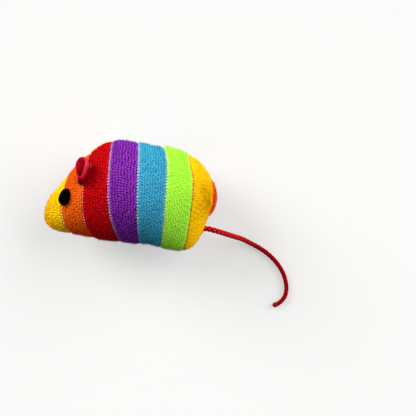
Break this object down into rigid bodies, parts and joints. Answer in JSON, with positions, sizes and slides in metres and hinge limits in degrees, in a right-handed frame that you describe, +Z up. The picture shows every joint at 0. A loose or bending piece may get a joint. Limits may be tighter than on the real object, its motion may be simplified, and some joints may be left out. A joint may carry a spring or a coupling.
{
  "type": "catnip mouse toy",
  "caption": "Stuffed mouse cat toy sewn from rainbow-striped knit panels, lying on its flank, with pinched felt ears that flop, felt eyes and a braided cord tail that swings.",
  "frame": {"origin": "on the plane that the mouse lies on, under the middle of its body and ears without the tail", "axes": "+X from nose to rump, +Y from belly to back, +Z up through the mouse's left flank"},
  "size_m": [0.1343, 0.0932, 0.0462],
  "materials": {
    "knit_yellow": "matte",
    "knit_orange": "matte",
    "knit_red": "matte",
    "knit_purple": "matte",
    "knit_blue": "matte",
    "knit_green": "matte",
    "red_felt": "matte",
    "black_felt": "matte",
    "red_cord": "satin",
    "fibre": "matte",
    "dried_leaf": "matte"
  },
  "bodies": {
    "body": {"left_nose_yellow": "knit_yellow", "left_cheek_orange": "knit_orange", "left_shoulder_red": "knit_red", "left_chest_purple": "knit_purple", "left_middle_blue": "knit_blue", "left_haunch_green": "knit_green", "left_rump_yellow": "knit_yellow", "right_nose_red": "knit_red", "right_cheek_orange": "knit_orange", "right_shoulder_yellow": "knit_yellow", "right_chest_green": "knit_green", "right_middle_blue": "knit_blue", "right_loin_purple": "knit_purple", "right_haunch_red": "knit_red", "right_rump_orange": "knit_orange", "front_stuffing": "fibre", "rear_stuffing": "fibre", "catnip_fill": "dried_leaf", "tail_knot": "red_cord", "left_eye": "black_felt", "right_eye": "black_felt"},
    "left_ear_cup": {"left_ear": "red_felt"},
    "right_ear_cup": {"right_ear": "red_felt"},
    "tail": {"tail_cord": "red_cord"}
  },
  "joints": [
    {"name": "tail_swing", "type": "hinge", "parent": "body", "child": "tail", "pos_m": [0.04162, -0.01834, 0.0221], "axis": [0, 0, 1], "range_deg": [-45, 45], "stiffness_Nm_per_rad": 0.0002},
    {"name": "left_ear_flop", "type": "hinge", "parent": "body", "child": "left_ear_cup", "pos_m": [-0.02018, 0.00937, 0.03909], "axis": [0.5059, 0.8618, -0.0369], "range_deg": [-25, 25], "stiffness_Nm_per_rad": 0.0002},
    {"name": "right_ear_flop", "type": "hinge", "parent": "body", "child": "right_ear_cup", "pos_m": [-0.02018, 0.00937, 0.00422], "axis": [-0.5059, -0.8618, -0.0369], "range_deg": [-5, 9], "stiffness_Nm_per_rad": 0.0002}
  ]
}
